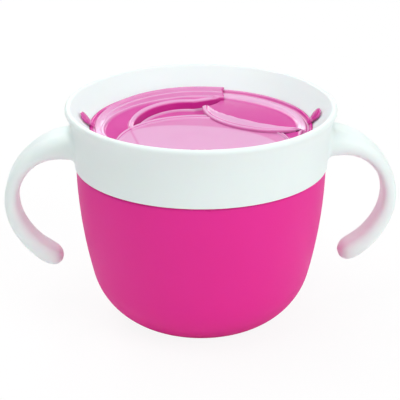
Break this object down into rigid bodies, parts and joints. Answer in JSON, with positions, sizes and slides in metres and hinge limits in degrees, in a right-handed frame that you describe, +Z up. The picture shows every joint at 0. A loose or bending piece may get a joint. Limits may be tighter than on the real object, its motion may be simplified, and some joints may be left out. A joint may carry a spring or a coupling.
{
  "type": "toddler snack container",
  "caption": "Round snack bowl with a push-on collar that has two open C-shaped handles, and a soft insert with overlapping flaps for a small hand.",
  "frame": {"origin": "centre of the flat foot, on the surface that the container stands on", "axes": "+Z up through the mouth, +X along the two handles, towards the flap_right side"},
  "size_m": [0.1466, 0.1, 0.0838],
  "materials": {
    "bowl_pink": "satin",
    "collar_white": "satin",
    "insert_pink": "gloss"
  },
  "bodies": {
    "bowl": {"bowl": "bowl_pink"},
    "lid": {"collar_with_handles": "collar_white", "insert_ring": "insert_pink"},
    "flap_front": {"flap_front": "insert_pink"},
    "flap_left": {"flap_left": "insert_pink"},
    "flap_right": {"flap_right": "insert_pink"}
  },
  "joints": [
    {"name": "lid_lift", "type": "slide", "parent": "bowl", "child": "lid", "axis": [0, 0, 1], "range_m": [0, 0.09]},
    {"name": "flap_front_hinge", "type": "hinge", "parent": "lid", "child": "flap_front", "pos_m": [0, -0.0369, 0.0748], "axis": [-1, 0, 0], "range_deg": [0, 40], "stiffness_Nm_per_rad": 0.05},
    {"name": "flap_left_hinge", "type": "hinge", "parent": "lid", "child": "flap_left", "pos_m": [-0.01559, 0.03344, 0.0748], "axis": [0.9063, 0.4226, 0], "range_deg": [0, 40], "stiffness_Nm_per_rad": 0.05},
    {"name": "flap_right_hinge", "type": "hinge", "parent": "lid", "child": "flap_right", "pos_m": [0.03196, 0.01845, 0.0748], "axis": [0.5, -0.866, 0], "range_deg": [0, 40], "stiffness_Nm_per_rad": 0.05}
  ],
  "couplings": [
    {"joint": "flap_left_hinge", "follows": "flap_front_hinge", "ratio": 1},
    {"joint": "flap_right_hinge", "follows": "flap_front_hinge", "ratio": 1}
  ]
}
